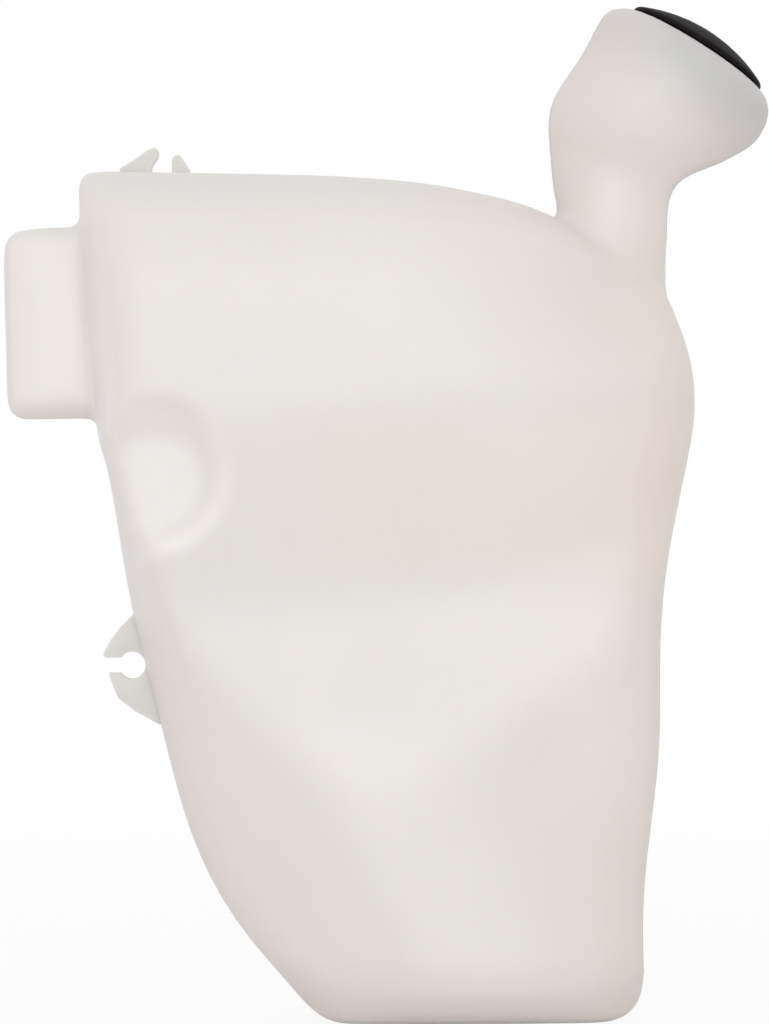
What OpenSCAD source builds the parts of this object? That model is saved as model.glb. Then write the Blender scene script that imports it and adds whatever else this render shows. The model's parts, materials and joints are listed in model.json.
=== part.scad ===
// Washer fluid reservoir for a car: one blow-moulded tank and its push-in cap.
// Millimetres, +Z up, front towards -Y. The origin is the middle of the flat base,
// and the two halves of the mould meet on the plane y = 0.

/* [Outline of the tank] */
// Height from the base to the top left corner
tank_h = 313; // [300:1:325]
// Width of the base between its two corners
base_w = 119; // [112:1:126]
// Height of the knee, where the left side starts to sweep in towards the base
knee_z = 50; // [45:1:55]
// Reach of the knee to the left of the middle
knee_reach = 104.5; // [100:0.5:108]
// Height of the hip, just below the hose clip
hip_z = 128; // [124:1:132]
// Reach of the hip to the left of the middle
hip_reach = 124.5; // [123:0.5:126]
// Height of the waist, where the left side straightens
waist_z = 154; // [150:1:160]
// Reach of the waist to the left of the middle
waist_reach = 131; // [128:1:134]
// Height of the small step in the left side
step_z = 204; // [198:1:210]
// Reach of the left side just below the step
step_reach = 139; // [136:1:142]
// How far the step juts out
step_w = 3; // [1:0.5:5]
// Reach of the top left corner
top_reach = 150.5; // [146:0.5:156]
// Distance of the crown, where the top starts to fall, to the left of the middle
crown_reach = 31; // [20:1:45]
// Fall of the top from the left corner to the crown
crown_drop = 2; // [0:0.5:5]
// Reach of the shoulder bend to the right of the middle
bend_reach = 18; // [14:1:24]
// Fall of the top from the left corner to the shoulder bend
bend_drop = 12.5; // [9:0.5:16]
// Fall of the top from the left corner to the shoulder, under the filler neck
shoulder_drop = 39; // [33:1:45]
// Reach of the shoulder to the right of the middle
shoulder_reach = 64.5; // [62:0.5:68]
// Height of the bulge, the furthest point of the right side
bulge_z = 233; // [226:1:240]
// Reach of the bulge to the right of the middle
bulge_reach = 80; // [76:1:84]
// Height of the right side's waist
flank_z = 158; // [150:1:166]
// Reach of the straight flank to the right of the middle
flank_reach = 64.5; // [62:0.5:67]
// Height where the flank starts to draw in
draw_z = 99; // [90:1:108]
// Height of the heel, the narrowest place of the right side
heel_z = 42; // [36:1:48]
// Reach of the heel to the right of the middle
heel_reach = 57.5; // [55:0.5:59]

/* [Depth of the tank] */
// Wall of the moulding
wall = 2.5; // [1.5:0.1:3]
// Depth of the upper panel in front of the mould line
panel_depth = 60; // [54:1:66]
// Height of the gentle roll along the top of the upper panel
top_roll_h = 45; // [35:1:55]
// Distance that the upper panel rolls back at the top
top_roll = 10; // [6:1:14]
// Width of the gentle roll along the right of the upper panel
right_roll_w = 90; // [75:1:105]
// Distance that the upper panel rolls back at the right
right_roll = 12; // [8:1:16]
// Reach of the gentle roll of the upper panel towards the filler neck
neck_roll_w = 80; // [65:1:95]
// Distance that the upper panel rolls back at the neck
neck_roll = 18; // [12:1:22]
// Height of the crease under the upper panel, above the middle of the base
crease_z = 233; // [226:1:240]
// Rise of the crease to the right, in degrees
crease_rise = 6.5; // [3:0.5:9]
// Slope of the ledge under the crease, in degrees
ledge_angle = 15.5; // [12:0.5:18]
// Depth of the lower panel at its upper edge
shield_depth = 40; // [36:1:44]
// Height of the upper edge of the lower panel
shield_z = 160; // [152:1:168]
// Forward lean of the lower panel, in degrees
shield_lean = 5; // [3:0.5:7]
// Height of the keel, the low point of the lower panel
keel_z = 90; // [84:1:98]
// Distance of the keel to the left of the middle
keel_reach = 41; // [36:1:46]
// Drift of the ridge under the keel to the right as it goes down, in degrees
ridge_drift = 17; // [12:1:22]
// Backward slope of that ridge as it goes down, in degrees
ridge_slope = 8.5; // [6:0.5:11]
// Radius of the upward curve of the flanks above the keel
flank_rise_r = 230; // [200:10:260]
// Radius of the rounded flank to the left of the ridge
left_flank_r = 130; // [115:5:160]
// Radius of the rounded flank to the right of the ridge
right_flank_r = 200; // [175:5:230]
// Depth of the back behind the mould line
back_depth = 52; // [46:1:58]
// Height below which the back tapers
back_taper_z = 150; // [130:1:170]
// Slope of that taper, in degrees
back_taper_angle = 9; // [6:1:11]
// Softness of the crease under the upper panel
crease_soft = 1.5; // [0.8:0.1:3]
// Softness of the edges of the lower panel
panel_soft = 3.5; // [2:0.5:6]

/* [Rounded edges] */
// Rounding of the left edge
left_round = 20; // [16:1:24]
// Rounding of the right edge
right_round = 24; // [18:1:30]
// Rounding of the top edge
top_round = 20; // [14:1:26]
// Rounding of the bottom edge
bottom_round = 18; // [14:1:22]
// Squareness of the rounded edges, where 2 is an ellipse
edge_power = 2.6; // [2.2:0.1:3.4]

/* [Pocket at the left edge] */
// Height of the middle of the pocket
pocket_z = 198; // [194:1:202]
// Distance of the pocket to the left of the middle
pocket_reach = 120; // [117:1:123]
// Radius of the pocket's floor
pocket_r = 18; // [15:1:21]
// Slope of the wall around the floor, in degrees
pocket_slope = 35; // [30:1:42]
// Depth that is left between the mould line and the middle of the floor
pocket_floor = 46.5; // [43:0.5:48]
// Tilt of the floor towards the ground, in degrees
pocket_tilt = 6; // [3:1:9]

/* [Mounting foot] */
// Length of the foot beyond the top left corner
foot_l = 27.5; // [23.5:0.5:33.5]
// Height of the foot's lower side
foot_low_z = 222; // [216:1:228]
// Height of the foot's upper side
foot_high_z = 292; // [286:1:297]
// Half of the foot's depth
foot_depth = 25; // [20:1:30]
// Rounding of the foot's edges
foot_round = 9; // [6:1:12]

/* [Filler neck] */
// Radius of the neck where it leaves the shoulder
neck_r = 20; // [19:0.5:21]
// Half of the depth of the neck's root inside the shoulder
root_depth = 34; // [30:1:37]
// Distance of the neck to the right of the middle
neck_reach = 47; // [45:0.5:49]
// Depth of the throat, where the neck starts to open out, below the top left corner
throat_drop = 3.5; // [1:0.5:6]
// Radius of the throat
throat_r = 24; // [23:0.5:25.5]
// Tilt of the throat to the right, in degrees
throat_tilt = 20; // [16:1:24]
// Distance of the flare, under the head, to the right of the middle
flare_reach = 53; // [51:0.5:55]
// Height of the flare above the top left corner
flare_rise = 13; // [11:0.5:15]
// Radius of the flare
flare_r = 31; // [30:0.5:32]
// Tilt of the flare to the right, in degrees
flare_tilt = 24; // [21:1:27]
// Radius of the head that carries the mouth
head_r = 36; // [34.5:0.5:37.5]
// Length of the head along the axis of the mouth
head_l = 18; // [16:0.5:20]
// Rounding of the head towards its rim
head_round = 8; // [6:0.5:10]
// Tilt of the mouth to the right, in degrees
mouth_tilt = 32.5; // [28:0.5:37]
// Distance of the mouth to the right of the middle
mouth_reach = 78; // [75:0.5:81]
// Height of the middle of the mouth above the top left corner
mouth_rise = 45; // [40:1:50]
// Radius of the mouth
mouth_r = 25.5; // [24:0.5:25.5]
// Thickness of the lip around the mouth
lip_t = 5; // [3.5:0.5:7]

/* [Cap] */
// Radius of the cap
cap_r = 27.5; // [26.5:0.5:28.5]
// Height of the rim of the cap
cap_rim = 2.4; // [1.6:0.2:3.2]
// Rise of the cap's dome above its rim
cap_dome = 6.2; // [4:0.2:7]
// Thickness of the cap
cap_t = 2; // [1.6:0.1:2.6]
// Depth of the plug under the cap
plug_l = 11; // [9:0.5:14]
// Thickness of the plug's wall
plug_t = 2; // [1.6:0.1:2.6]
// Play between the cap and its seat
cap_play = 0.25; // [0.2:0.05:0.4]

/* [Clips and pump seat] */
// Thickness of the flat clips on the mould line
clip_t = 4; // [3:0.5:6]
// Height of the side clip's hose
clip_z = 131; // [129:0.5:133]
// Distance of that hose to the left of the middle
clip_reach = 130.5; // [130.3:0.1:131.5]
// Radius of the hose that the side clip holds
hose_r = 5; // [4.6:0.1:5.3]
// Width of the side clip's mouth
clip_gap = 5.6; // [4.6:0.2:6.4]
// Distance of the top clip to the left of the middle
top_clip_reach = 119.5; // [112:0.5:127]
// Gap between the prongs of the top clip
top_clip_gap = 7.4; // [6:0.2:9]
// Radius of the hole for the pump
pump_r = 11; // [9:0.5:12]
// Radius of the pump seat around the hole
pump_seat_r = 17; // [15:0.5:19]
// Length of the hole's wall
pump_seat_l = 9; // [8:0.5:11]
// Height of the pump hole
pump_z = 36; // [30:1:42]
// Distance of the pump hole to the right of the middle
pump_reach = 18; // [8:1:28]

/* [Hidden] */
$fn = 96;

// The bottom edge of the mould line dips this far below the flat base
base_crown = 1.5;
// Smaller than any real size, for cuts that pass right through a face
over = 1;
// Longer than the part, for cutting halves of space
far = 600;
natural = [0.93, 0.92, 0.90];
black = [0.10, 0.10, 0.11];

// Heights that hang from the top left corner, and the end of the foot
shoulder_z = tank_h - shoulder_drop;
throat_z = tank_h - throat_drop;
flare_z = tank_h + flare_rise;
mouth_z = tank_h + mouth_rise;
foot_reach = top_reach + foot_l;

// Corners of the outline on the mould line, clockwise from the left end of the base.
// Each is [x, z, length of the rounding along its edges].
outline = [
    [-base_w / 2, -base_crown, 11],
    [-knee_reach, knee_z, 37],
    [-hip_reach, hip_z, 14],
    [-waist_reach, waist_z, 14],
    [-step_reach, step_z, 3],
    [-step_reach - step_w, step_z + 2 * step_w, 3],
    [-top_reach, tank_h, 6],
    [-crown_reach, tank_h - crown_drop, 45],
    [bend_reach, tank_h - bend_drop, 14],
    [shoulder_reach, shoulder_z, 12],
    [bulge_reach, bulge_z, 22],
    [flank_reach, flank_z, 26],
    [flank_reach, draw_z, 14],
    [heel_reach, heel_z, 20],
    [base_w / 2, -base_crown, 20],
];
// Where the bottom, left, top and right sides of the outline end
top_left_corner = 6;
top_right_corner = 9;

// The foot runs this far into the tank
foot_root = 16;
// Lean of the foot's end, which follows the tank's left side
foot_lean = 2;
foot_outline = [
    [-foot_reach + foot_lean, foot_low_z, 6],
    [-foot_reach, foot_high_z, 11],
    [-top_reach + foot_root, foot_high_z + 1, 3],
    [-step_reach - step_w + foot_root, foot_low_z + 1, 3],
];

function unit(v) = v / norm(v);
function flat(p) = [p.x, p.y];

// The lower or higher of two depths, with a crease of softness k between them
function soft_min(a, b, k) = let (h = max(k - abs(a - b), 0) / k) min(a, b) - h * h * k / 4;
function soft_max(a, b, k) = -soft_min(-a, -b, k);

// Fall of the top edge to the right, from the crown to the shoulder
crown_fall = (shoulder_drop - crown_drop) / (crown_reach + shoulder_reach);

// How far a surface has fallen at distance d along a gentle roll of width w that falls by drop in all
function roll(d, w, drop) = let (s = max(0, 1 - d / w)) drop * s * s;

// Depth of the front: upper panel with its rolled edges, ledge, lower panel and the two flanks of the ridge
front = function (x, z) let (
    ledge = panel_depth - tan(ledge_angle) * (crease_z + x * tan(crease_rise) - z),
    shield = shield_depth + tan(shield_lean) * (shield_z - z),
    keel_depth = shield_depth + tan(shield_lean) * (shield_z - keel_z),
    from_ridge = x + keel_reach - tan(ridge_drift) * max(0, keel_z - z),
    flank_r = from_ridge < 0 ? left_flank_r : right_flank_r,
    over_keel = max(0, z - keel_z),
    rise = over_keel * over_keel / (2 * flank_rise_r) - tan(ridge_slope) * (keel_z - z),
    flanks = keel_depth + rise - from_ridge * from_ridge / (2 * flank_r),
    top_z = tank_h - crown_drop - max(0, x + crown_reach) * crown_fall,
    from_neck = norm([x - neck_reach, z - shoulder_z]),
    rolled = roll(top_z - z, top_roll_h, top_roll) + roll(bulge_reach - x, right_roll_w, right_roll)
        + roll(from_neck, neck_roll_w, neck_roll),
    upper = soft_min(panel_depth, ledge, crease_soft) - rolled,
    panels = soft_max(upper, shield, panel_soft)
) soft_min(panels, flanks, panel_soft);

// Depth of the back: a plain panel that tapers towards the base
back = function (x, z)
    soft_min(back_depth, back_depth - tan(back_taper_angle) * (back_taper_z - z), panel_soft);

// Depth of the foot, the same on both sides
foot = function (x, z) foot_depth;

// Moves every edge of an outline inwards by d
function inward(a, b) = let (d = unit(flat(b) - flat(a))) [d.y, -d.x];
function inset(corners, d) = let (n = len(corners)) [
    for (i = [0:n - 1]) let (
        b = corners[i],
        m = inward(corners[(i + n - 1) % n], b),
        k = inward(b, corners[(i + 1) % n]),
        shift = (m + k) / (1 + m * k) * d
    ) [b.x + shift.x, b.y + shift.y, max(b.z - d / 2, 1)]
];

// Points of one rounded corner, and of the side of an outline from corner i to corner j
corner_steps = 8;
function corner(corners, i) = let (
    n = len(corners),
    b = flat(corners[i]),
    before = flat(corners[(i + n - 1) % n]) - b,
    after = flat(corners[(i + 1) % n]) - b,
    p = b + unit(before) * min(corners[i].z, 0.48 * norm(before)),
    q = b + unit(after) * min(corners[i].z, 0.48 * norm(after))
) [for (k = [0:corner_steps]) let (s = k / corner_steps)
    (1 - s) * (1 - s) * p + 2 * s * (1 - s) * b + s * s * q];
function side(corners, i, j) = [
    for (k = [i:j]) let (
        points = corner(corners, k % len(corners)),
        first = k == i ? corner_steps / 2 : 0,
        last = k == j ? corner_steps / 2 : corner_steps
    ) for (m = [first:last]) points[m]
];

// A curve that can be asked for its point at a share t of its length
function lengths(path) = [
    for (i = 0, s = 0; i < len(path); s = s + norm(path[min(i + 1, len(path) - 1)] - path[i]), i = i + 1) s
];
function curve(path) = let (s = lengths(path)) [
    [for (i = [0:len(path) - 1]) [s[i], path[i].x]],
    [for (i = [0:len(path) - 1]) [s[i], path[i].y]],
    s[len(path) - 1],
];
function at(curve, t) = [lookup(t * curve[2], curve[0]), lookup(t * curve[2], curve[1])];
function reversed(path) = [for (i = [len(path) - 1:-1:0]) path[i]];

// Shares of a side's length, close together where the edges are rounded
edge_steps = 5;
edge_share = 0.09;
function shares(n) = [
    for (i = [0:edge_steps - 1]) edge_share * (1 - pow(cos(90 * i / edge_steps), 2 / edge_power)),
    for (i = [0:n]) edge_share + (1 - 2 * edge_share) * i / n,
    for (i = [edge_steps - 1:-1:0]) 1 - edge_share * (1 - pow(cos(90 * i / edge_steps), 2 / edge_power)),
];

// How much of the full depth is reached at distance d from an edge of rounding r
function rounded(d, r) = d >= r ? 1 : pow(1 - pow(1 - max(d, 0) / r, edge_power), 1 / edge_power);

// A body between the two mould halves: a grid over the outline, pushed out to the front and back depths.
// rounds holds the roundings of the left, right, bottom and top edges, and thinner is taken off all round.
module moulded(corners, high_left, high_right, rounds, front, back, thinner, cells) {
    walls = inset(corners, thinner);
    n = len(walls);
    left = curve(side(walls, 0, high_left));
    top = curve(side(walls, high_left, high_right));
    right = curve(reversed(side(walls, high_right, n - 1)));
    bottom = curve(reversed(side(walls, n - 1, n)));
    us = shares(cells[0]);
    vs = shares(cells[1]);
    last_u = len(us) - 1;
    last_v = len(vs) - 1;
    lefts = [for (v = vs) at(left, v)];
    rights = [for (v = vs) at(right, v)];
    bottoms = [for (u = us) at(bottom, u)];
    tops = [for (u = us) at(top, u)];
    grid = [for (i = [0:last_u]) [for (j = [0:last_v]) let (u = us[i], v = vs[j])
        (1 - u) * lefts[j] + u * rights[j] + (1 - v) * bottoms[i] + v * tops[i]
        - (1 - u) * (1 - v) * lefts[0] - u * (1 - v) * rights[0]
        - (1 - u) * v * lefts[last_v] - u * v * rights[last_v]]];
    share = [for (i = [0:last_u]) [for (j = [0:last_v]) let (p = grid[i][j])
        rounded(norm(p - lefts[j]), rounds[0] - thinner)
        * rounded(norm(p - rights[j]), rounds[1] - thinner)
        * rounded(norm(p - bottoms[i]), rounds[2] - thinner)
        * rounded(norm(p - tops[i]), rounds[3] - thinner)]];
    function edge(i, j) = i == 0 || j == 0 || i == last_u || j == last_v;
    function front_at(i, j) = i * (last_v + 1) + j;
    function back_at(i, j) = edge(i, j) ? front_at(i, j)
        : (last_u + 1) * (last_v + 1) + (i - 1) * (last_v - 1) + j - 1;
    points = [
        for (i = [0:last_u], j = [0:last_v]) let (p = grid[i][j])
            [p.x, edge(i, j) ? 0 : -share[i][j] * (front(p.x, p.y) - thinner), p.y],
        for (i = [1:last_u - 1], j = [1:last_v - 1]) let (p = grid[i][j])
            [p.x, share[i][j] * (back(p.x, p.y) - thinner), p.y],
    ];
    // Each cell is two triangles, and the four corner cells are cut towards the middle of the grid
    function split(a, b, c, d, rising) = rising ? [[a, b, c], [a, c, d]] : [[a, b, d], [b, c, d]];
    faces = [
        for (i = [0:last_u - 1], j = [0:last_v - 1])
            let (rising = (2 * i < last_u) == (2 * j < last_v)) each concat(
            split(front_at(i, j), front_at(i, j + 1), front_at(i + 1, j + 1), front_at(i + 1, j), rising),
            split(back_at(i + 1, j), back_at(i + 1, j + 1), back_at(i, j + 1), back_at(i, j), !rising)
        ),
    ];
    polyhedron(points, faces, convexity = 8);
}

module tank_form(thinner, cells) {
    moulded(outline, top_left_corner, top_right_corner,
        [left_round, right_round, bottom_round, top_round], front, back, thinner, cells);
}

module foot_form(thinner, cells) {
    moulded(foot_outline, 1, 2, [foot_round, foot_round, foot_round, foot_round],
        foot, foot, thinner, cells);
}

// Puts things on the axis of the mouth, with z = 0 on its rim
module at_mouth() {
    translate([mouth_reach, 0, mouth_z]) rotate([0, mouth_tilt, 0]) children();
}
function mouth_point(w) = [mouth_reach + w * sin(mouth_tilt), mouth_z + w * cos(mouth_tilt)];

// Sections of the neck from inside the shoulder up to the rim: [x, z, radius across, radius in depth, tilt]
neck_foot_z = shoulder_z - 12;
rim_r = cap_r - 0.5;
function head_section(w, r) = let (p = mouth_point(w)) [p.x, p.y, r, r, mouth_tilt];
neck_sections = [
    [neck_reach, neck_foot_z, neck_r, root_depth, 4],
    [neck_reach, (neck_foot_z + throat_z) / 2, neck_r, (root_depth + 2 * neck_r) / 3, 12],
    [neck_reach, throat_z, throat_r, throat_r - 2, throat_tilt],
    [flare_reach, flare_z, flare_r, flare_r - 1, flare_tilt],
    head_section(-head_l, head_r),
    head_section(-head_round, head_r),
];

// A smooth run through the sections, with the given steps between each two
function spline(a, b, c, d, t) =
    ((2 * b) + (c - a) * t + (2 * a - 5 * b + 4 * c - d) * t * t + (3 * b - a - 3 * c + d) * t * t * t) / 2;
function through(keys, steps) = let (last = len(keys) - 1) [
    for (i = [0:last - 1], k = [0:steps - 1])
        spline(keys[max(i - 1, 0)], keys[i], keys[i + 1], keys[min(i + 2, last)], k / steps),
    keys[last],
];

// A closed body through a run of tilted oval sections
module lofted(sections, sides) {
    n = len(sections);
    points = [for (s = sections) for (k = [0:sides - 1]) let (a = 360 * k / sides)
        [s[0] + s[2] * cos(a) * cos(s[4]), s[3] * sin(a), s[1] - s[2] * cos(a) * sin(s[4])]];
    faces = [
        [for (k = [0:sides - 1]) k],
        [for (k = [sides - 1:-1:0]) (n - 1) * sides + k],
        for (i = [0:n - 2], k = [0:sides - 1]) let (a = i * sides + k, b = i * sides + (k + 1) % sides) each [
            [a, a + sides, b + sides],
            [a, b + sides, b],
        ],
    ];
    polyhedron(points, faces, convexity = 6);
}

// Steps along and sides around the neck and its bore
neck_steps = 5;
neck_sides = 36;
rim_steps = 5;
bore_steps = 4;
bore_sides = 28;
module neck_form() {
    rim = [for (k = [1:rim_steps]) let (a = 90 * k / rim_steps)
        head_section(-head_round * (1 - sin(a)), rim_r + (head_r - rim_r) * cos(a))];
    lofted(concat(through(neck_sections, neck_steps), rim), neck_sides);
}

module neck_bore() {
    keys = [for (s = neck_sections) [s[0], s[1], s[2] - wall, s[3] - wall, s[4]]];
    inside = [for (i = [0:len(keys) - 2]) keys[i]];
    rim = [head_section(-lip_t - wall, head_r - wall), head_section(-lip_t, rim_r)];
    lofted(concat(through(concat(inside, [rim[0]]), bore_steps), [rim[1]]), bore_sides);
}

// Cutter for the round pocket, which looks forward and a little down. grow adds a wall around it.
pocket_h = 20;
module pocket(grow) {
    floor_r = pocket_r + grow * tan(pocket_slope / 2);
    height = pocket_h + grow;
    translate([-pocket_reach, -pocket_floor, pocket_z])
        rotate([90 + pocket_tilt, 0, 0]) translate([0, 0, -grow])
        cylinder(r1 = floor_r, r2 = floor_r + height / tan(pocket_slope), h = height);
}

// Flat clip for a hose on the left side, with a mouth narrower than the hose
slot_l = 20;
module side_clip() {
    translate([-clip_reach, 0, clip_z]) rotate([90, 0, 0]) difference() {
        linear_extrude(height = clip_t, center = true) difference() {
            polygon([
                [1.2, 19.5], [-8.1, 9], [-10.7, 3.6], [-8.5, -3.6], [-5.1, -12.2], [1.1, -17],
                [10.2, -22], [11.7, -20], [7.7, 0], [4.2, 19],
            ]);
            translate([-slot_l, -clip_gap / 2]) square([slot_l, clip_gap]);
        }
        cylinder(r = hose_r, h = clip_t + over, center = true);
    }
}

// Two flat prongs on the top edge that keep a hose between them
module top_clip() {
    half = top_clip_gap / 2;
    translate([-top_clip_reach, 0, tank_h]) rotate([90, 0, 0])
        linear_extrude(height = clip_t, center = true) {
            translate([-half, 0])
                polygon([
                    [-12.6, -2.2], [-11.8, 1.5], [-1.5, 8.4], [1.1, 9.2],
                    [2.6, 7.3], [2.2, 5.4], [0, 2], [0, -2.2],
                ]);
            translate([half, 0])
                polygon([[0, -2.2], [0, 4.6], [1.5, 6.6], [3.3, 6.2], [6.6, 1], [7, -2.2]]);
        }
}

// Seat of the washer pump, low on the back
pump_face = back(pump_reach, pump_z) + 3.5;
module at_pump() {
    translate([pump_reach, pump_face, pump_z]) rotate([90, 0, 0]) children();
}

// Cells across and up the tank's grid, outside and inside, and of the foot's
outer_cells = [20, 28];
inner_cells = [12, 16];
foot_cells = [4, 4];
module cavity() {
    difference() {
        union() {
            tank_form(wall, inner_cells);
            foot_form(wall, foot_cells);
            neck_bore();
        }
        translate([-far / 2, -far / 2, wall - far]) cube(far);
        pocket(wall);
    }
}

module reservoir() {
    color(natural) difference() {
        union() {
            difference() {
                union() {
                    tank_form(0, outer_cells);
                    foot_form(0, foot_cells);
                    neck_form();
                    side_clip();
                    top_clip();
                }
                cavity();
                pocket(0);
                translate([-far / 2, -far / 2, -far]) cube(far);
            }
            at_pump() cylinder(r = pump_seat_r, h = pump_seat_l);
        }
        at_pump() translate([0, 0, -over]) cylinder(r = pump_r, h = pump_seat_l + 2 * over);
        at_mouth() translate([0, 0, -lip_t - over]) cylinder(r = mouth_r, h = lip_t + 2 * over);
    }
}

module cap() {
    plug_r = mouth_r - cap_play;
    dome_r = (cap_r * cap_r + cap_dome * cap_dome) / (2 * cap_dome);
    color(black) at_mouth() translate([0, 0, cap_play]) {
        difference() {
            union() {
                cylinder(r = cap_r, h = cap_rim);
                intersection() {
                    translate([0, 0, cap_rim + cap_dome - dome_r]) sphere(r = dome_r);
                    cylinder(r = cap_r, h = cap_rim + cap_dome + over);
                }
                translate([0, 0, -plug_l]) cylinder(r = plug_r, h = plug_l + over);
            }
            translate([0, 0, -plug_l - over])
                cylinder(r = plug_r - plug_t, h = plug_l + over + cap_rim - cap_t);
        }
    }
}

reservoir();
cap();
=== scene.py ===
# %% [markdown]
# # A washer fluid reservoir
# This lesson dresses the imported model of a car's washer tank: one milky blow moulding and its
# black cap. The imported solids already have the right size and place. Blender adds what makes
# the real tank look soft: a skin with no hard facets, the mould line, the waxy plastic and
# plain studio light.

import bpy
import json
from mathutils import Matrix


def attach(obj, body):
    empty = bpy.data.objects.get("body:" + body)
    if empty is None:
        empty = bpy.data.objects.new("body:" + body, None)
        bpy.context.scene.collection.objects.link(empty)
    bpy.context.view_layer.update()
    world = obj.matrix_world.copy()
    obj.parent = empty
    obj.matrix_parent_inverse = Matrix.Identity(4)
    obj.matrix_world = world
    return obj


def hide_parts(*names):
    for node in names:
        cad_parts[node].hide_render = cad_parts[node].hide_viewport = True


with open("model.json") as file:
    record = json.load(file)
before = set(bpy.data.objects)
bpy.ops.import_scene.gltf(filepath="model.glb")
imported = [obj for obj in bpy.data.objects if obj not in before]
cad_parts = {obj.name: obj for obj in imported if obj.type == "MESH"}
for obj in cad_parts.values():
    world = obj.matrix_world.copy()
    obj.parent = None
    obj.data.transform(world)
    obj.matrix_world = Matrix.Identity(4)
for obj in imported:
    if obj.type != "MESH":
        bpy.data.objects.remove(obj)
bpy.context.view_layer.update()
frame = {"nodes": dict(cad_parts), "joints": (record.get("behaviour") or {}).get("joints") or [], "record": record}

# %% [markdown]
# ## Named sizes
# All sizes are in metres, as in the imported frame. The axis of the mouth and the places of the
# pump hole and the hose come from the record, so they can't drift from the solids. The middle
# and the radius of the mouth repeat the part's source.

# %% Sizes that several steps need
import json
import math

import bmesh
import bpy
from mathutils import Matrix, Vector

MM = 0.001
mounts = {mount["name"]: mount for mount in frame["record"]["mounts"]}
pull = frame["joints"][0]

mouth_axis = Vector(pull["axis"]).normalized()
mouth_centre = Vector((78 * MM, 0, 358 * MM))
mouth_radius = 25.5 * MM
pump_centre = Vector(mounts["pump_seat"]["pos_m"])
pump_axis = Vector(mounts["pump_seat"]["axis"])
pump_radius = mounts["pump_seat"]["dims"]["r_mm"] * MM
clip_thickness = mounts["hose_clip"]["dims"]["length_mm"] * MM
print("mouth at", tuple(mouth_centre), "pump at", tuple(pump_centre))

# %% [markdown]
# ## Small helpers
# A mesh that is ready becomes an object at the origin, with its place in its vertices. A live
# modifier is turned into plain mesh by asking Blender for the evaluated object.


# %% Helpers for meshes
def object_from(bm, name):
    """Makes an object of a bmesh and frees the bmesh."""
    mesh = bpy.data.meshes.new(name)
    bm.to_mesh(mesh)
    bm.free()
    made = bpy.data.objects.new(name, mesh)
    bpy.context.scene.collection.objects.link(made)
    return made


def applied(source, name):
    """A new object with the modifiers of source made real. Source is removed."""
    graph = bpy.context.evaluated_depsgraph_get()
    mesh = bpy.data.meshes.new_from_object(source.evaluated_get(graph))
    bpy.data.objects.remove(source)
    mesh.name = name
    made = bpy.data.objects.new(name, mesh)
    bpy.context.scene.collection.objects.link(made)
    return made


def bmesh_of(source):
    """The mesh of an object as a new bmesh."""
    bm = bmesh.new()
    bm.from_mesh(source.data)
    return bm


def axis_distance(point, centre, axis):
    """How far a point is from a line."""
    arm = point - centre
    return (arm - axis * arm.dot(axis)).length


# %% [markdown]
# ## The two skins of the tank
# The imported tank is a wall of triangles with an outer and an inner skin, which meet only in the
# mouth and in the pump hole. A copy of it is merged, the walls of those two holes are taken out,
# and the copy falls into two loose skins. Each one is then closed with flat patches. The flat
# clips are taken off as well, because smoothing would melt them. They are made again later.

# %% Which faces go
bore_slack = 0.02 * MM
clip_slack = 0.01 * MM
clips_left_of = -100 * MM
side_clip_below = 160 * MM
top_clip_above = 310 * MM


def on_bore(face, centre, axis, radius):
    """True for a face of the round wall of a hole."""
    offs = [abs(axis_distance(v.co, centre, axis) - radius) for v in face.verts]
    return max(offs) < bore_slack


def on_clip(face):
    """True for a face of the flat clips that stand on the mould line at the left."""
    half = clip_thickness / 2 + clip_slack
    flat = all(abs(v.co.y) <= half for v in face.verts)
    middle = face.calc_center_median()
    off_tank = middle.z < side_clip_below or middle.z > top_clip_above
    return flat and middle.x < clips_left_of and off_tank


# %% Take them out
same_place = 0.005 * MM
outer = bmesh_of(frame["nodes"]["reservoir"])
bmesh.ops.remove_doubles(outer, verts=outer.verts, dist=same_place)
walls = [
    face for face in outer.faces
    if on_bore(face, mouth_centre, mouth_axis, mouth_radius)
    or on_bore(face, pump_centre, pump_axis, pump_radius)
    or on_clip(face)
]
print("faces:", len(outer.faces), "of which hole walls and clips:", len(walls))
bmesh.ops.delete(outer, geom=walls, context="FACES")


# %% Split and close the skins
def hanging_together(seed):
    """All the vertices that edges join to a seed vertex."""
    found = {seed}
    to_visit = [seed]
    while to_visit:
        vertex = to_visit.pop()
        for edge in vertex.link_edges:
            other = edge.other_vert(vertex)
            if other not in found:
                found.add(other)
                to_visit.append(other)
    return found


outermost = max(outer.verts, key=lambda v: v.co.y)
outer_verts = hanging_together(outermost)
outer.verts.index_update()
outer_numbers = {v.index for v in outer_verts}
inner = outer.copy()
not_outer = [v for v in outer.verts if v not in outer_verts]
not_inner = [v for v in inner.verts if v.index in outer_numbers]
bmesh.ops.delete(outer, geom=not_outer, context="VERTS")
bmesh.ops.delete(inner, geom=not_inner, context="VERTS")
for skin in (outer, inner):
    rims = [edge for edge in skin.edges if edge.is_boundary]
    bmesh.ops.holes_fill(skin, edges=rims, sides=0)
    bmesh.ops.triangulate(skin, faces=[f for f in skin.faces if len(f.verts) > 4])
    bmesh.ops.recalc_face_normals(skin, faces=skin.faces)
    still_open = sum(edge.is_boundary for edge in skin.edges)
    print("skin:", len(skin.verts), "vertices, open edges:", still_open)

# %% [markdown]
# ## A soft skin
# Hot plastic that is blown against a mould never fills a sharp corner, so every edge of the real
# tank is soft. Subdivision would keep the facets of the copy. A voxel remesh gives an even net
# of small squares instead, and a few rounds of smoothing then melt the facets together. The inner
# skin is hardly seen, so its net is coarser.


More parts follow.
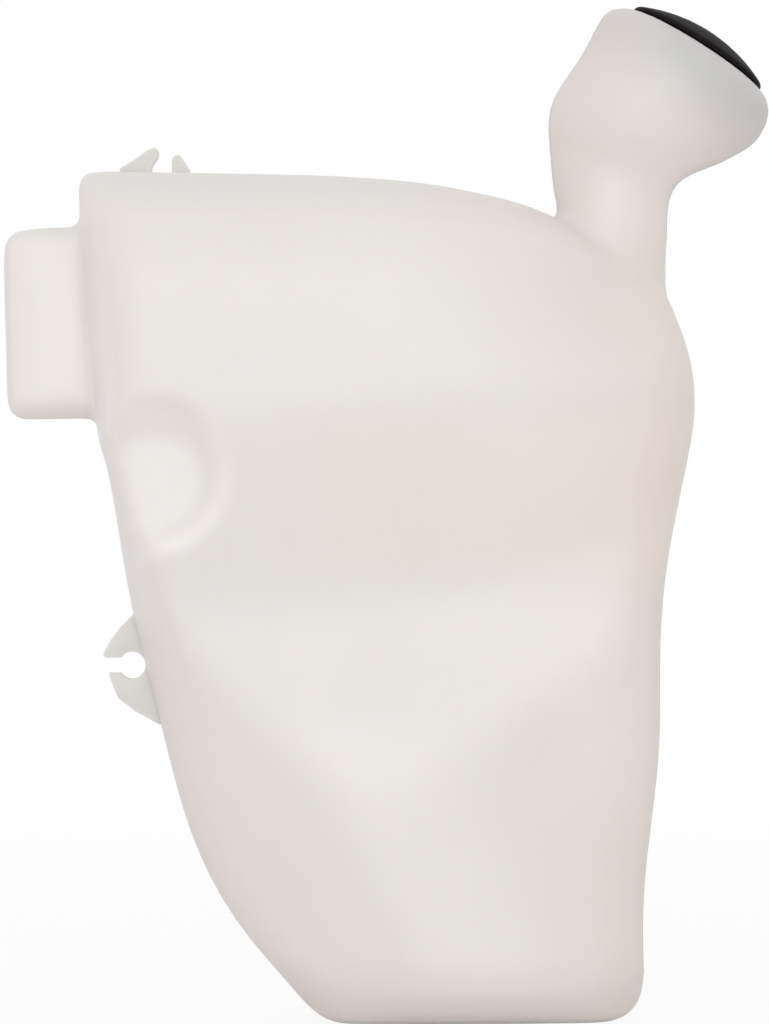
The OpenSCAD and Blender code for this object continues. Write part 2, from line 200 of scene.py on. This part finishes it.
# %% Remesh and smooth
def smooth_once(bm, verts):
    """One round of smoothing."""
    bmesh.ops.smooth_vert(
        bm, verts=verts, factor=0.5, use_axis_x=True, use_axis_y=True, use_axis_z=True
    )


def softened(skin, voxel, rounds, name):
    """An even, smooth version of a closed skin, as a bmesh."""
    rough = object_from(skin, name)
    remesh = rough.modifiers.new("even net", "REMESH")
    remesh.mode = "VOXEL"
    remesh.voxel_size = voxel
    even = applied(rough, name)
    bm = bmesh_of(even)
    bpy.data.objects.remove(even)
    for _ in range(rounds):
        smooth_once(bm, bm.verts)
    print(name, "has", len(bm.faces), "faces")
    return bm


outside = softened(outer, voxel=1.95 * MM, rounds=7, name="outer skin")
inside = softened(inner, voxel=3.3 * MM, rounds=6, name="inner skin")

# %% [markdown]
# ## Local touches
# The neck has tighter hollows than the copy: below its head, and where it leaves the tank on the
# left. Its head is a little flatter on the left as well. Both skins are pushed in there together,
# so the wall keeps its thickness. The pocket runs out into the left edge, and more smoothing there
# melts its border away.


# %% Tighten the throat
def pushed(bm, centre, reach, push):
    """Moves the points near a centre, most in the middle and less towards the reach."""
    for vertex in bm.verts:
        share = 1 - (vertex.co - centre).length / reach
        if share > 0:
            vertex.co += push * share * share * (3 - 2 * share)


below_head = (Vector((74, 0, 306)), 19, Vector((-2.2, 0, 2.4)))
left_of_root = (Vector((24, 0, 298)), 10, Vector((1.3, 0, -1.6)))
left_of_head = (Vector((35, 0, 355)), 24, Vector((1.2, 0, -0.6)))
for skin in (outside, inside):
    for centre, reach, push in (below_head, left_of_root, left_of_head):
        pushed(skin, centre * MM, reach * MM, push * MM)
        print("pushed by", round(push.length, 1), "mm")

# %% Melt the border of the pocket
run_out = Vector((-128 * MM, -26 * MM, 196 * MM))
run_out_reach = 18 * MM
melting_rounds = 14
for _ in range(melting_rounds):
    front = [v for v in outside.verts if v.co.y < 0]
    near = [v for v in front if (v.co - run_out).length < run_out_reach]
    smooth_once(outside, near)
print("pocket border:", len(near), "points smoothed")

# %% [markdown]
# ## The mould line
# Where the two halves of the mould meet, a thin ridge runs round the tank. Three cuts along the
# mould plane give a narrow strip, and its middle line is pushed out. Under the base the line is a
# shallow groove, so that the tank stands flat.

# %% Raise the line
ridge_half_width = 0.7 * MM
ridge_height = 0.4 * MM
base_zone = 2 * MM
cut_snap = 0.05 * MM
line_slack = 0.06 * MM
for offset in (-ridge_half_width, 0, ridge_half_width):
    everything = outside.verts[:] + outside.edges[:] + outside.faces[:]
    bmesh.ops.bisect_plane(
        outside, geom=everything, dist=cut_snap, plane_co=(0, offset, 0), plane_no=(0, 1, 0)
    )
outside.normal_update()
line = [v for v in outside.verts if abs(v.co.y) < line_slack]
pushes = [(v, v.normal.copy()) for v in line]
for vertex, normal in pushes:
    side = -1 if vertex.co.z < base_zone else 1
    vertex.co += normal * ridge_height * side
print("mould line:", len(line), "points")
tank = object_from(outside, "tank_moulding")

# %% [markdown]
# ## The hose clips
# Two flat clips stand on the mould line, where the mould pinches the plastic flat: a hook for a
# hose on the left side, and two prongs on the top edge. Each is a flat outline in the mould
# plane, pulled to a plate and rounded along its edges. The round slot of the hook is a spun point.

# %% Plates from outlines
clip_edge = 0.5 * MM
level = 0.01 * MM


def plate(bm, outline):
    """Pulls a closed outline of vertices to a plate and rounds it."""
    face = bm.faces.new(outline)
    pulled = bmesh.ops.extrude_face_region(bm, geom=[face])
    moved = [part for part in pulled["geom"] if isinstance(part, bmesh.types.BMVert)]
    bmesh.ops.translate(bm, vec=(0, clip_thickness, 0), verts=moved)
    bmesh.ops.recalc_face_normals(bm, faces=bm.faces)
    rim = [e for e in bm.edges if abs(e.verts[0].co.y - e.verts[1].co.y) < level]
    bmesh.ops.bevel(
        bm, geom=rim, offset=clip_edge, affect="EDGES", segments=2, profile=0.5, material=-1
    )


def corner_at(bm, centre, x, z):
    """A vertex on the front face of a plate, given in millimetres from a centre."""
    return bm.verts.new((centre.x + x * MM, -clip_thickness / 2, centre.z + z * MM))


# %% The hook
hose_centre = Vector(mounts["hose_clip"]["pos_m"])
hose_radius = mounts["hose_clip"]["dims"]["r_mm"]
lip_half = 2.8
lip_start = -math.sqrt(hose_radius ** 2 - lip_half ** 2)
swing = 2 * (math.pi - math.atan2(lip_half, -lip_start))
above = [
    (7.7, 0), (4.2, 19), (1.2, 19.5), (-4.5, 13.8), (-8.1, 9), (-10.3, 5), (-10.7, 3.4),
    (-9.9, 2.8),
]
below = [
    (-8.4, -2.8), (-8.5, -3.6), (-6.9, -8.2), (-5.1, -12.2), (1.1, -17), (10.2, -22),
    (11.7, -20),
]
clips = bmesh.new()
hook = [corner_at(clips, hose_centre, x, z) for x, z in above]
first = corner_at(clips, hose_centre, lip_start, lip_half)
before = set(clips.verts)
bmesh.ops.spin(clips, geom=[first], cent=hose_centre, axis=(0, 1, 0), angle=swing, steps=20)
arc = [v for v in clips.verts if v not in before]
hook = hook + [first] + arc
hook = hook + [corner_at(clips, hose_centre, x, z) for x, z in below]
plate(clips, hook)
hook_object = object_from(clips, "hose hook")
print("hook:", len(hook_object.data.polygons), "faces")

# %% The prongs
top_centre = Vector((-119.5 * MM, 0, 313 * MM))
half_gap = 3.7
left_prong = [
    (-12.6, -2.2), (-11.8, 1.5), (-6, 5.2), (-1.5, 8.4), (0, 9.1), (1.1, 9.2), (2.3, 8.5),
    (2.6, 7.3), (2.2, 5.4), (0.6, 3.2), (0, 2), (0, -2.2),
]
right_prong = [
    (0, -2.2), (0, 4.6), (0.4, 5.8), (1.5, 6.6), (2.6, 6.7), (3.5, 5.9), (6.6, 1), (7, -2.2),
]
prong_objects = []
for name, outline, shift in (
    ("left prong", left_prong, -half_gap),
    ("right prong", right_prong, half_gap),
):
    prong = bmesh.new()
    plate(prong, [corner_at(prong, top_centre, x + shift, z) for x, z in outline])
    prong_objects.append(object_from(prong, name))
print("prongs:", len(prong_objects))


# %% [markdown]
# ## Cut the hollow
# The tank is hollow, and light that enters the thin wall glows in it. The smooth inner skin is
# taken away from the smooth outer skin, and so are two turned cutters for the mouth and the pump
# hole. Each cutter flares at the face, which leaves a rounded edge like a moulded one. A turned
# shape starts half a step off the mould plane, so that no point of a cutter falls on the mould
# line, which would leave folded slivers.


# %% Turned shapes
def turned(profile, centre, axis, steps, name):
    """Spins a profile of radius and height pairs in millimetres round an axis."""
    bm = bmesh.new()
    half_step = math.pi / steps
    start = Vector((math.cos(half_step), math.sin(half_step), 0))
    lift = Vector((0, 0, 1))
    points = [bm.verts.new((start * radius + lift * height) * MM) for radius, height in profile]
    edges = [bm.edges.new(pair) for pair in zip(points, points[1:])]
    bmesh.ops.spin(
        bm, geom=points + edges, cent=(0, 0, 0), axis=(0, 0, 1), angle=2 * math.pi, steps=steps,
        use_merge=True,
    )
    bmesh.ops.remove_doubles(bm, verts=bm.verts, dist=0.001 * MM)
    bmesh.ops.recalc_face_normals(bm, faces=bm.faces)
    turn = lift.rotation_difference(axis).to_matrix().to_4x4()
    bmesh.ops.transform(bm, matrix=Matrix.Translation(centre) @ turn, verts=bm.verts)
    return object_from(bm, name)


def hole_profile(radius, depth):
    """The profile of a cutter that flares towards the face at height 0, in millimetres."""
    flare = 0.8
    top = 6
    steps = 5
    rounding = []
    for step in range(steps + 1):
        angle = math.pi / 2 * step / steps
        out = radius + flare * (1 - math.cos(angle))
        rounding.append((out, -flare + flare * math.sin(angle)))
    return [(0, -depth), (radius, -depth)] + rounding + [(radius + flare, top), (0, top)]


# %% The cutters
mouth_depth = 8
mouth_profile = hole_profile(mouth_radius / MM, mouth_depth)
mouth_cutter = turned(
    mouth_profile, mouth_centre, mouth_axis, steps=96, name="mouth cutter"
)

pump_depth = 12
seat_plane = 37.44 * MM
seat_centre = pump_centre + pump_axis * (seat_plane - pump_centre.y)
pump_profile = hole_profile(pump_radius / MM, pump_depth)
pump_cutter = turned(pump_profile, seat_centre, pump_axis, steps=64, name="pump cutter")
inner_object = object_from(inside, "inner skin")
print("pump seat at", tuple(seat_centre))

# %% Join the clips and cut the holes
joined = [hook_object] + prong_objects
taken = [inner_object, mouth_cutter, pump_cutter]
for tool in joined + taken:
    change = tank.modifiers.new(tool.name, "BOOLEAN")
    change.operation = "UNION" if tool in joined else "DIFFERENCE"
    change.solver = "EXACT"
    change.object = tool
tank = applied(tank, "tank_moulding")
for tool in joined + taken:
    bpy.data.objects.remove(tool)
print("after the cuts:", len(tank.data.polygons), "faces")

# %% [markdown]
# ## Clean the cut edges
# The cuts leave some points in the middle of straight edges. Two faces that share such a point
# can fold over it when they are cut to triangles, so these points are dissolved.

# %% Dissolve needless points
tank_crease = math.radians(38)
clean = bmesh_of(tank)
needless = [vert for vert in clean.verts if len(vert.link_edges) == 2]
bmesh.ops.dissolve_verts(clean, verts=needless)
bmesh.ops.recalc_face_normals(clean, faces=clean.faces)
print("needless points:", len(needless))
print("open edges:", sum(not edge.is_manifold for edge in clean.edges))
clean.to_mesh(tank.data)
clean.free()
tank.data.shade_smooth()
tank.data.set_sharp_from_angle(angle=tank_crease)
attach(tank, "reservoir")
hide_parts("reservoir")
print("tank:", len(tank.data.polygons), "faces")

# %% [markdown]
# ## The cap
# The cap is a turned shape: a thin rim, a low dome and a hollow plug that pushes into the mouth.
# It is spun from one profile, with small roundings at the rim so that it catches the light.

# %% The profile of the cap, in millimetres
rise = 0.25
dome_edge = rise + 1.6
dome_height = 6.6
rim_radius = 27.5
plug_radius = 25.25
plug_inside = 23.25
plug_end = -10.75
roof = 0.65
dome_radius = (rim_radius ** 2 + dome_height ** 2) / (2 * dome_height)


def dome(radius):
    """Height of the dome at a distance from the axis."""
    top = dome_edge + dome_height
    return top - dome_radius + math.sqrt(dome_radius ** 2 - radius ** 2)


on_dome = [(radius, dome(radius)) for radius in (0, 4, 8, 12, 16, 19, 21, 23.2, 25, 26.2)]
round_rim = [
    (26.9, dome(26.9) - 0.05), (27.3, dome_edge - 0.25), (rim_radius, dome_edge - 0.65),
    (rim_radius, rise + 0.5), (27.3, rise + 0.15), (26.9, rise),
]
plug = [
    (plug_radius, rise), (plug_radius, -9.6), (plug_radius - 0.6, plug_end), (23.4, plug_end),
    (plug_inside, plug_end + 0.25), (plug_inside, 0), (22.6, roof), (12, roof), (0, roof),
]
print("cap profile:", len(on_dome + round_rim + plug), "points")

# %% Turn the cap
cap_crease = math.radians(45)
cap_profile = on_dome + round_rim + plug
cap = turned(cap_profile, mouth_centre, mouth_axis, steps=128, name="push_in_cap")
cap.data.shade_smooth()
cap.data.set_sharp_from_angle(angle=cap_crease)
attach(cap, "cap")
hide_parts("cap")
print("cap:", len(cap.data.polygons), "faces")

# %% [markdown]
# ## Colours and nodes
# Colours are written as on a screen and turned to linear light by one function. One more small
# function adds a node, sets what is given as a value and links what is given as a socket.


# %% Helpers for materials
def linear(code):
    """A hex colour as linear light."""
    parts = [int(code[i:i + 2], 16) / 255 for i in (1, 3, 5)]
    return [p / 12.92 if p <= 0.04045 else ((p + 0.055) / 1.055) ** 2.4 for p in parts] + [1]


def add(tree, kind, settings=None, **sockets):
    """Adds a node. A socket is named with _ for a space, or numbered, as _0."""
    made = tree.nodes.new(kind)
    for name, value in (settings or {}).items():
        setattr(made, name, value)
    for name, value in sockets.items():
        number = name[1:]
        if number.isdigit():
            target = made.inputs[int(number)]
        else:
            target = made.inputs[name.replace("_", " ")]
        if isinstance(value, bpy.types.NodeSocket):
            tree.links.new(value, target)
        else:
            target.default_value = value
    return made


def new_material(name):
    """A material with an empty tree and its output node."""
    material = bpy.data.materials.new(name)
    material.use_nodes = True
    material.node_tree.nodes.clear()
    output = material.node_tree.nodes.new("ShaderNodeOutputMaterial")
    return material, material.node_tree, output


plus = {"operation": "ADD"}
minus = {"operation": "SUBTRACT"}
times = {"operation": "MULTIPLY"}
size_of = {"operation": "ABSOLUTE"}
larger = {"operation": "MAXIMUM"}
length = {"operation": "LENGTH"}
dot = {"operation": "DOT_PRODUCT"}
smooth = {"interpolation_type": "SMOOTHSTEP"}
colours = {"data_type": "RGBA"}

# %% [markdown]
# ## Natural polyethylene
# The tank is blown from natural high density polyethylene with no pigment. It is milky, a little
# warm, waxy rather than glossy, and light goes some way into it before it comes back. Faint
# clouds and long streaks come from the hose of plastic that is blown up.

# %% Clouds and streaks in the plastic
hdpe, tree, output = new_material("natural_hdpe_with_painted_light")
place = add(tree, "ShaderNodeTexCoord").outputs["Object"]
cloud_size = 60 * MM
streak_width = 7 * MM
streak_length = 180 * MM
streak_share = 0.18
clouds = add(
    tree, "ShaderNodeTexNoise", Vector=place, Scale=1 / cloud_size, Detail=2.0, Roughness=0.5
)
streak_scale = (1 / streak_width, 1 / streak_width, 1 / streak_length)
streak_place = add(tree, "ShaderNodeMapping", Vector=place, Scale=streak_scale)
streaks = add(
    tree, "ShaderNodeTexNoise", Vector=streak_place.outputs[0], Scale=1.0, Detail=2.0,
    Roughness=0.5,
)
faint = add(tree, "ShaderNodeMath", times, _0=streaks.outputs["Fac"], _1=streak_share)
mottled = add(tree, "ShaderNodeMath", plus, _0=faint.outputs[0], _1=clouds.outputs["Fac"])
tone = add(tree, "ShaderNodeValToRGB", Fac=mottled.outputs[0])
tone.color_ramp.elements[0].position = 0.35
tone.color_ramp.elements[0].color = linear("#e8e4e0")
tone.color_ramp.elements[1].position = 0.85
tone.color_ramp.elements[1].color = linear("#eae7e4")
print("clouds of", cloud_size, "m and streaks of", streak_length, "m")

# %% [markdown]
# ## Tones of the wall, and painted light and shade
# Most of these tones are painted light and shade, laid into the colour of the plastic. Painted
# warm shade lies where the wall leans away from the front and on the ledge. Painted shade darkens
# the right side, the neck and the right of its head, and the base, and cools the up-facing wall
# near the top edge. The painted shadow of the black plug lies cool and grey under the lip. Painted
# light brightens the foot, the left edge, the lower body and the floor of the pocket, and a
# painted highlight lies on the rim of the pocket. One more tone makes the wall greyer within a few
# millimetres of the mould plane, on the clips and along the line. Painted attributes would need a
# fine mesh. Here each tone is a colour with a few fades: a measure on the wall, where it starts and
# ends, and the share of the colour at both. The measures are in millimetres, and a lean is a part
# of the normal.

# %% Measures on the wall
wall_place = add(tree, "ShaderNodeMapping", Vector=place, Scale=(1 / MM, 1 / MM, 1 / MM)).outputs[0]
spot = add(tree, "ShaderNodeSeparateXYZ", Vector=wall_place)
across, inward, upward = spot.outputs
off_line = add(tree, "ShaderNodeMath", size_of, _0=inward).outputs[0]
normal = add(tree, "ShaderNodeTexCoord").outputs["Normal"]
side_lean, depth_lean, top_lean = add(tree, "ShaderNodeSeparateXYZ", Vector=normal).outputs
front_lean = add(tree, "ShaderNodeMath", size_of, _0=depth_lean).outputs[0]

crest_drift = 0.5
drifted = add(tree, "ShaderNodeMath", times, _0=upward, _1=crest_drift)
off_crest = add(tree, "ShaderNodeMath", plus, _0=across, _1=drifted.outputs[0]).outputs[0]

from_mouth = add(tree, "ShaderNodeVectorMath", minus, _0=wall_place, _1=mouth_centre / MM)
along = add(tree, "ShaderNodeVectorMath", dot, _0=from_mouth.outputs[0], _1=mouth_axis)
past_lip = along.outputs["Value"]

pocket_middle = Vector((-124.3, 0, 202.8))
pocket_radius = 29.2
pocket_low_side = (0.9, 0, -0.43)
flat = add(tree, "ShaderNodeCombineXYZ", X=across, Z=upward)
arm = add(tree, "ShaderNodeVectorMath", minus, _0=flat.outputs[0], _1=pocket_middle)
off_middle = add(tree, "ShaderNodeVectorMath", length, _0=arm.outputs[0]).outputs["Value"]
past_rim = add(tree, "ShaderNodeMath", minus, _0=off_middle, _1=pocket_radius)
off_rim = add(tree, "ShaderNodeMath", size_of, _0=past_rim.outputs[0]).outputs[0]
low_side = add(tree, "ShaderNodeVectorMath", dot, _0=arm.outputs[0], _1=pocket_low_side)
pocket_side = low_side.outputs["Value"]
print("pocket at", tuple(pocket_middle))

# %% The tones, most of them painted light and shade
in_front = (inward, -20, -6, 1, 0)
on_neck = (upward, 285, 325, 0, 1)
# A near white for painted light, laid where the wall is to look brighter.
painted_light_white = "#faf6f3"
tones_and_painted_light = {
    # Painted warm shade: the wall turns warmer as it leans away from the front.
    "painted warm shade where the wall leans": ("#ebe0dc", [(front_lean, 0.86, 0.995, 0.5, 0)]),
    # Greyer within a few millimetres of the mould plane, on the clips and along the line.
    "greyer near the mould plane": ("#c0c8c4", [(off_line, 2.1, 4.5, 0.3, 0)]),
    # Painted light: the foot is made lighter.
    "foot": (painted_light_white, [(across, -152, -132, 0.3, 0)]),
    # Painted shade: the body darkens towards the right, below the shoulder.
    "right side": ("#dbcfc3", [(across, 0, 75, 0, 0.3), (upward, 275, 300, 1, 0)]),
    # Painted shade: the wall darkens near the base, most at about 9 mm up.
    "base": ("#cbc0be", [(upward, 1, 9, 0, 0.28), (upward, 9, 30, 1, 0)]),
    # Painted shade: the neck and its head darken towards the right.
    "neck": ("#cdc2bb", [(across, 24, 40, 0, 0.08), on_neck]),
    "painted shade right of the neck": ("#cdc2bb", [(across, 66, 98, 0.06, 0.2), on_neck]),
    # Painted shade colour: the up-facing wall near the top edge, left of the neck, turns cooler.
    "top edge": ("#e2e8e6", [
        (top_lean, 0.15, 0.7, 0, 0.35), (across, -35, -5, 1, 0), (upward, 270, 290, 0, 1),
    ]),
    # Painted light: the wall that faces left along the left edge is made lighter.
    "left edge": (painted_light_white, [
        (side_lean, -0.95, -0.5, 0.5, 0), (across, -125, -100, 1, 0), (across, -152, -146, 0, 1),
        (upward, 135, 160, 0, 1), (upward, 235, 290, 1, 0.3),
    ]),
    # Painted warm shade on the ledge, which leans down.
    "ledge": ("#f8e6d6", [
        (upward, 160, 174, 0, 0.2), (upward, 214, 228, 1, 0), (across, -95, -45, 0, 1), in_front,
    ]),
    # Painted light at the right end of the lower panel.
    "painted light at the right end of the lower panel": (painted_light_white, [
        (across, 8, 40, 0, 0.32), (across, 55, 63, 1, 0),
        (upward, 60, 105, 0, 1), (upward, 138, 168, 1, 0), in_front,
    ]),
    # Painted light along the crest of the lower body.
    "painted light on the crest of the lower body": (painted_light_white, [
        (off_crest, -24, 0, 0, 0.28), (off_crest, 0, 55, 1, 0),
        (upward, 95, 125, 1, 0), (upward, 8, 30, 0, 1),
    ]),
    # Painted shadow of the black plug under the lip, cool and grey, deeper to the right.
    "painted shadow of the plug behind the lip": ("#babfc0", [(past_lip, -32, -8, 0, 0.6), (across, 45, 76, 0.45, 1)]),
    # Painted highlight: a bright crescent on the lower right rim of the pocket.
    "painted highlight on the rim of the pocket": (painted_light_white, [
        (off_rim, 0, 7, 0.45, 0), (pocket_side, 0, 22, 0, 1), in_front,
    ]),
    # Painted light on the floor of the pocket.
    "painted light on the floor of the pocket": (painted_light_white, [
        (off_middle, 18, 28, 0.4, 0), (across, -136, -122, 0.2, 1), in_front,
    ]),
}

# %% Lay the tones over each other
# The painted light and shade below are laid over the milky tone of the plastic.
milky_and_painted_light = tone.outputs[0]
for code, fades in tones_and_painted_light.values():
    share = 1.0
    for measure, start, end, at_start, at_end in fades:
        faded = add(
            tree, "ShaderNodeMapRange", smooth, Value=measure, From_Min=start, From_Max=end,
            To_Min=at_start, To_Max=at_end,
        )
        share = add(tree, "ShaderNodeMath", times, _0=share, _1=faded.outputs[0]).outputs[0]
    milky_and_painted_light = add(tree, "ShaderNodeMix", colours, _0=share, _6=milky_and_painted_light, _7=linear(code)).outputs[2]
print("tones:", ", ".join(tones_and_painted_light))

# %% [markdown]
# ## The waxy surface
# A blown wall copies the mould only roughly, so it has a soft orange peel of about two
# millimetres. Light that goes a few millimetres into the wall and comes back warmer is what
# makes it look like wax and not like paint.

# %% The milky plastic
peel_size = 2.2 * MM
peel_depth = 0.06 * MM
light_depth = 3 * MM
peel = add(
    tree, "ShaderNodeTexNoise", Vector=place, Scale=1 / peel_size, Detail=2.0, Roughness=0.55
)
relief = add(tree, "ShaderNodeMath", plus, _0=faint.outputs[0], _1=peel.outputs["Fac"])
bump = add(tree, "ShaderNodeBump", Height=relief.outputs[0], Strength=0.3, Distance=peel_depth)
gloss = add(
    tree, "ShaderNodeMapRange", smooth, Value=clouds.outputs["Fac"],
    From_Min=0.3, From_Max=0.7, To_Min=0.40, To_Max=0.50,
)
waxy = add(
    tree, "ShaderNodeBsdfPrincipled", {"subsurface_method": "RANDOM_WALK"},
    Base_Color=milky_and_painted_light, Roughness=gloss.outputs[0], IOR=1.54, Normal=bump.outputs[0],
    Subsurface_Weight=0.5, Subsurface_Radius=(1.0, 0.85, 0.75), Subsurface_Scale=light_depth,
)
tree.links.new(waxy.outputs[0], output.inputs["Surface"])
tank.data.materials.clear()
tank.data.materials.append(hdpe)
print("material:", hdpe.name)

# %% [markdown]
# ## Black cap plastic
# The cap is injection moulded polypropylene, coloured black right through. Its mould has a fine
# spark-eroded grain, which makes it matt, with a weak highlight. The real grain is finer than
# 0.9 mm and is drawn coarser, so that it shows.

# %% The black plastic
black, tree, output = new_material("black_polypropylene_grained")
place = add(tree, "ShaderNodeTexCoord").outputs["Object"]
grain_size = 0.9 * MM
grain_depth = 0.05 * MM
grain = add(
    tree, "ShaderNodeTexNoise", Vector=place, Scale=1 / grain_size, Detail=3.0, Roughness=0.6
)
shade = add(tree, "ShaderNodeValToRGB", Fac=grain.outputs["Fac"])
shade.color_ramp.elements[0].color = linear("#151213")
shade.color_ramp.elements[1].color = linear("#1f1b1d")
bump = add(
    tree, "ShaderNodeBump", Height=grain.outputs["Fac"], Strength=0.3, Distance=grain_depth
)
matt = add(
    tree, "ShaderNodeMapRange", Value=grain.outputs["Fac"],
    From_Min=0.3, From_Max=0.7, To_Min=0.50, To_Max=0.64,
)
grained = add(
    tree, "ShaderNodeBsdfPrincipled",
    Base_Color=shade.outputs[0], Roughness=matt.outputs[0], IOR=1.49, Normal=bump.outputs[0],
    Specular_IOR_Level=0.05,
)
tree.links.new(grained.outputs[0], output.inputs["Surface"])
cap.data.materials.clear()
cap.data.materials.append(black)
print("material:", black.name)

# %% [markdown]
# ## Floor and white room
# The tank stands on a plain pale floor in a white room. The floor and the room show white to the
# camera and in reflections, but give off only a part of that as light, so that the milky plastic
# keeps its shading. The floor still takes the shadow of the tank. It lies a hair below the base,
# because two faces in one plane flicker when they are seen from below.


# %% What shows white
def seen_directly(tree):
    """A share that is 1 for the camera, in reflections and through clear things."""
    rays = add(tree, "ShaderNodeLightPath").outputs
    share = rays["Is Camera Ray"]
    for kind in ("Is Glossy Ray", "Is Transmission Ray"):
        share = add(tree, "ShaderNodeMath", larger, _0=share, _1=rays[kind]).outputs[0]
    return share


# %% The floor
floor_gap = 0.3 * MM
floor_half = 20
ground = bmesh.new()
bmesh.ops.create_grid(ground, x_segments=1, y_segments=1, size=floor_half)
bmesh.ops.translate(ground, vec=(0, 0, -floor_gap), verts=ground.verts)
floor = object_from(ground, "floor")
paper, tree, output = new_material("white_paper_floor")
floor_place = add(tree, "ShaderNodeTexCoord").outputs["Object"]
away = add(tree, "ShaderNodeVectorMath", length, _0=floor_place)
whiter = add(
    tree, "ShaderNodeMapRange", smooth, Value=away.outputs["Value"],
    From_Min=0.25, From_Max=1.5, To_Min=0.9, To_Max=1.0,
)
share = add(tree, "ShaderNodeMath", times, _0=seen_directly(tree), _1=whiter.outputs[0])
pale = add(tree, "ShaderNodeBsdfDiffuse", Color=linear("#f0f0f0"))
glow = add(tree, "ShaderNodeEmission", Color=(1, 1, 1, 1), Strength=1.0)
mixed = add(
    tree, "ShaderNodeMixShader", Fac=share.outputs[0], _1=pale.outputs[0], _2=glow.outputs[0]
)
tree.links.new(mixed.outputs[0], output.inputs["Surface"])
floor.data.materials.append(paper)
print("material:", paper.name)

# %% The room
world = bpy.data.worlds.new("white room")
bpy.context.scene.world = world
world.use_nodes = True
tree = world.node_tree
tree.nodes.clear()
fill = add(tree, "ShaderNodeBackground", Color=(1, 0.985, 0.98, 1), Strength=0.82)
white = add(tree, "ShaderNodeBackground", Color=(1, 1, 1, 1), Strength=1.0)
mixed = add(
    tree, "ShaderNodeMixShader", Fac=seen_directly(tree), _1=fill.outputs[0], _2=white.outputs[0]
)
add(tree, "ShaderNodeOutputWorld", Surface=mixed.outputs[0])
print("room:", world.name)

# %% [markdown]
# ## Light and camera
# One broad soft lamp stands in front of the tank, behind the camera and a little lower, so that
# each face is as bright as it leans to the front, and the rounded edges fall off to a warm grey.
# The camera looks straight at the mould plane from 1.5 metres, as in the photo.

# %% The lamp
middle = Vector((-37.2 * MM, 0, 187.6 * MM))
lamp_place = Vector((-0.04, -1.9, 0.12))
light = bpy.data.lights.new("key", "AREA")
light.shape = "SQUARE"
light.size = 1.0
light.energy = 11.5
lamp = bpy.data.objects.new("key", light)
lamp.location = lamp_place
lamp.rotation_euler = (middle - lamp_place).to_track_quat("-Z", "Y").to_euler()
bpy.context.scene.collection.objects.link(lamp)
print("lamp:", light.energy, "W")

# %% The camera
camera_distance = 1.5
camera_data = bpy.data.cameras.new("camera")
camera_data.sensor_fit = "VERTICAL"
camera_data.sensor_height = 36
camera_data.lens = 142.5
camera = bpy.data.objects.new("camera", camera_data)
camera.location = (middle.x, -camera_distance, middle.z)
camera.rotation_euler = (math.pi / 2, 0, 0)
bpy.context.scene.collection.objects.link(camera)
bpy.context.scene.camera = camera
bpy.context.scene.view_settings.view_transform = "Standard"
print("camera at", tuple(camera.location))
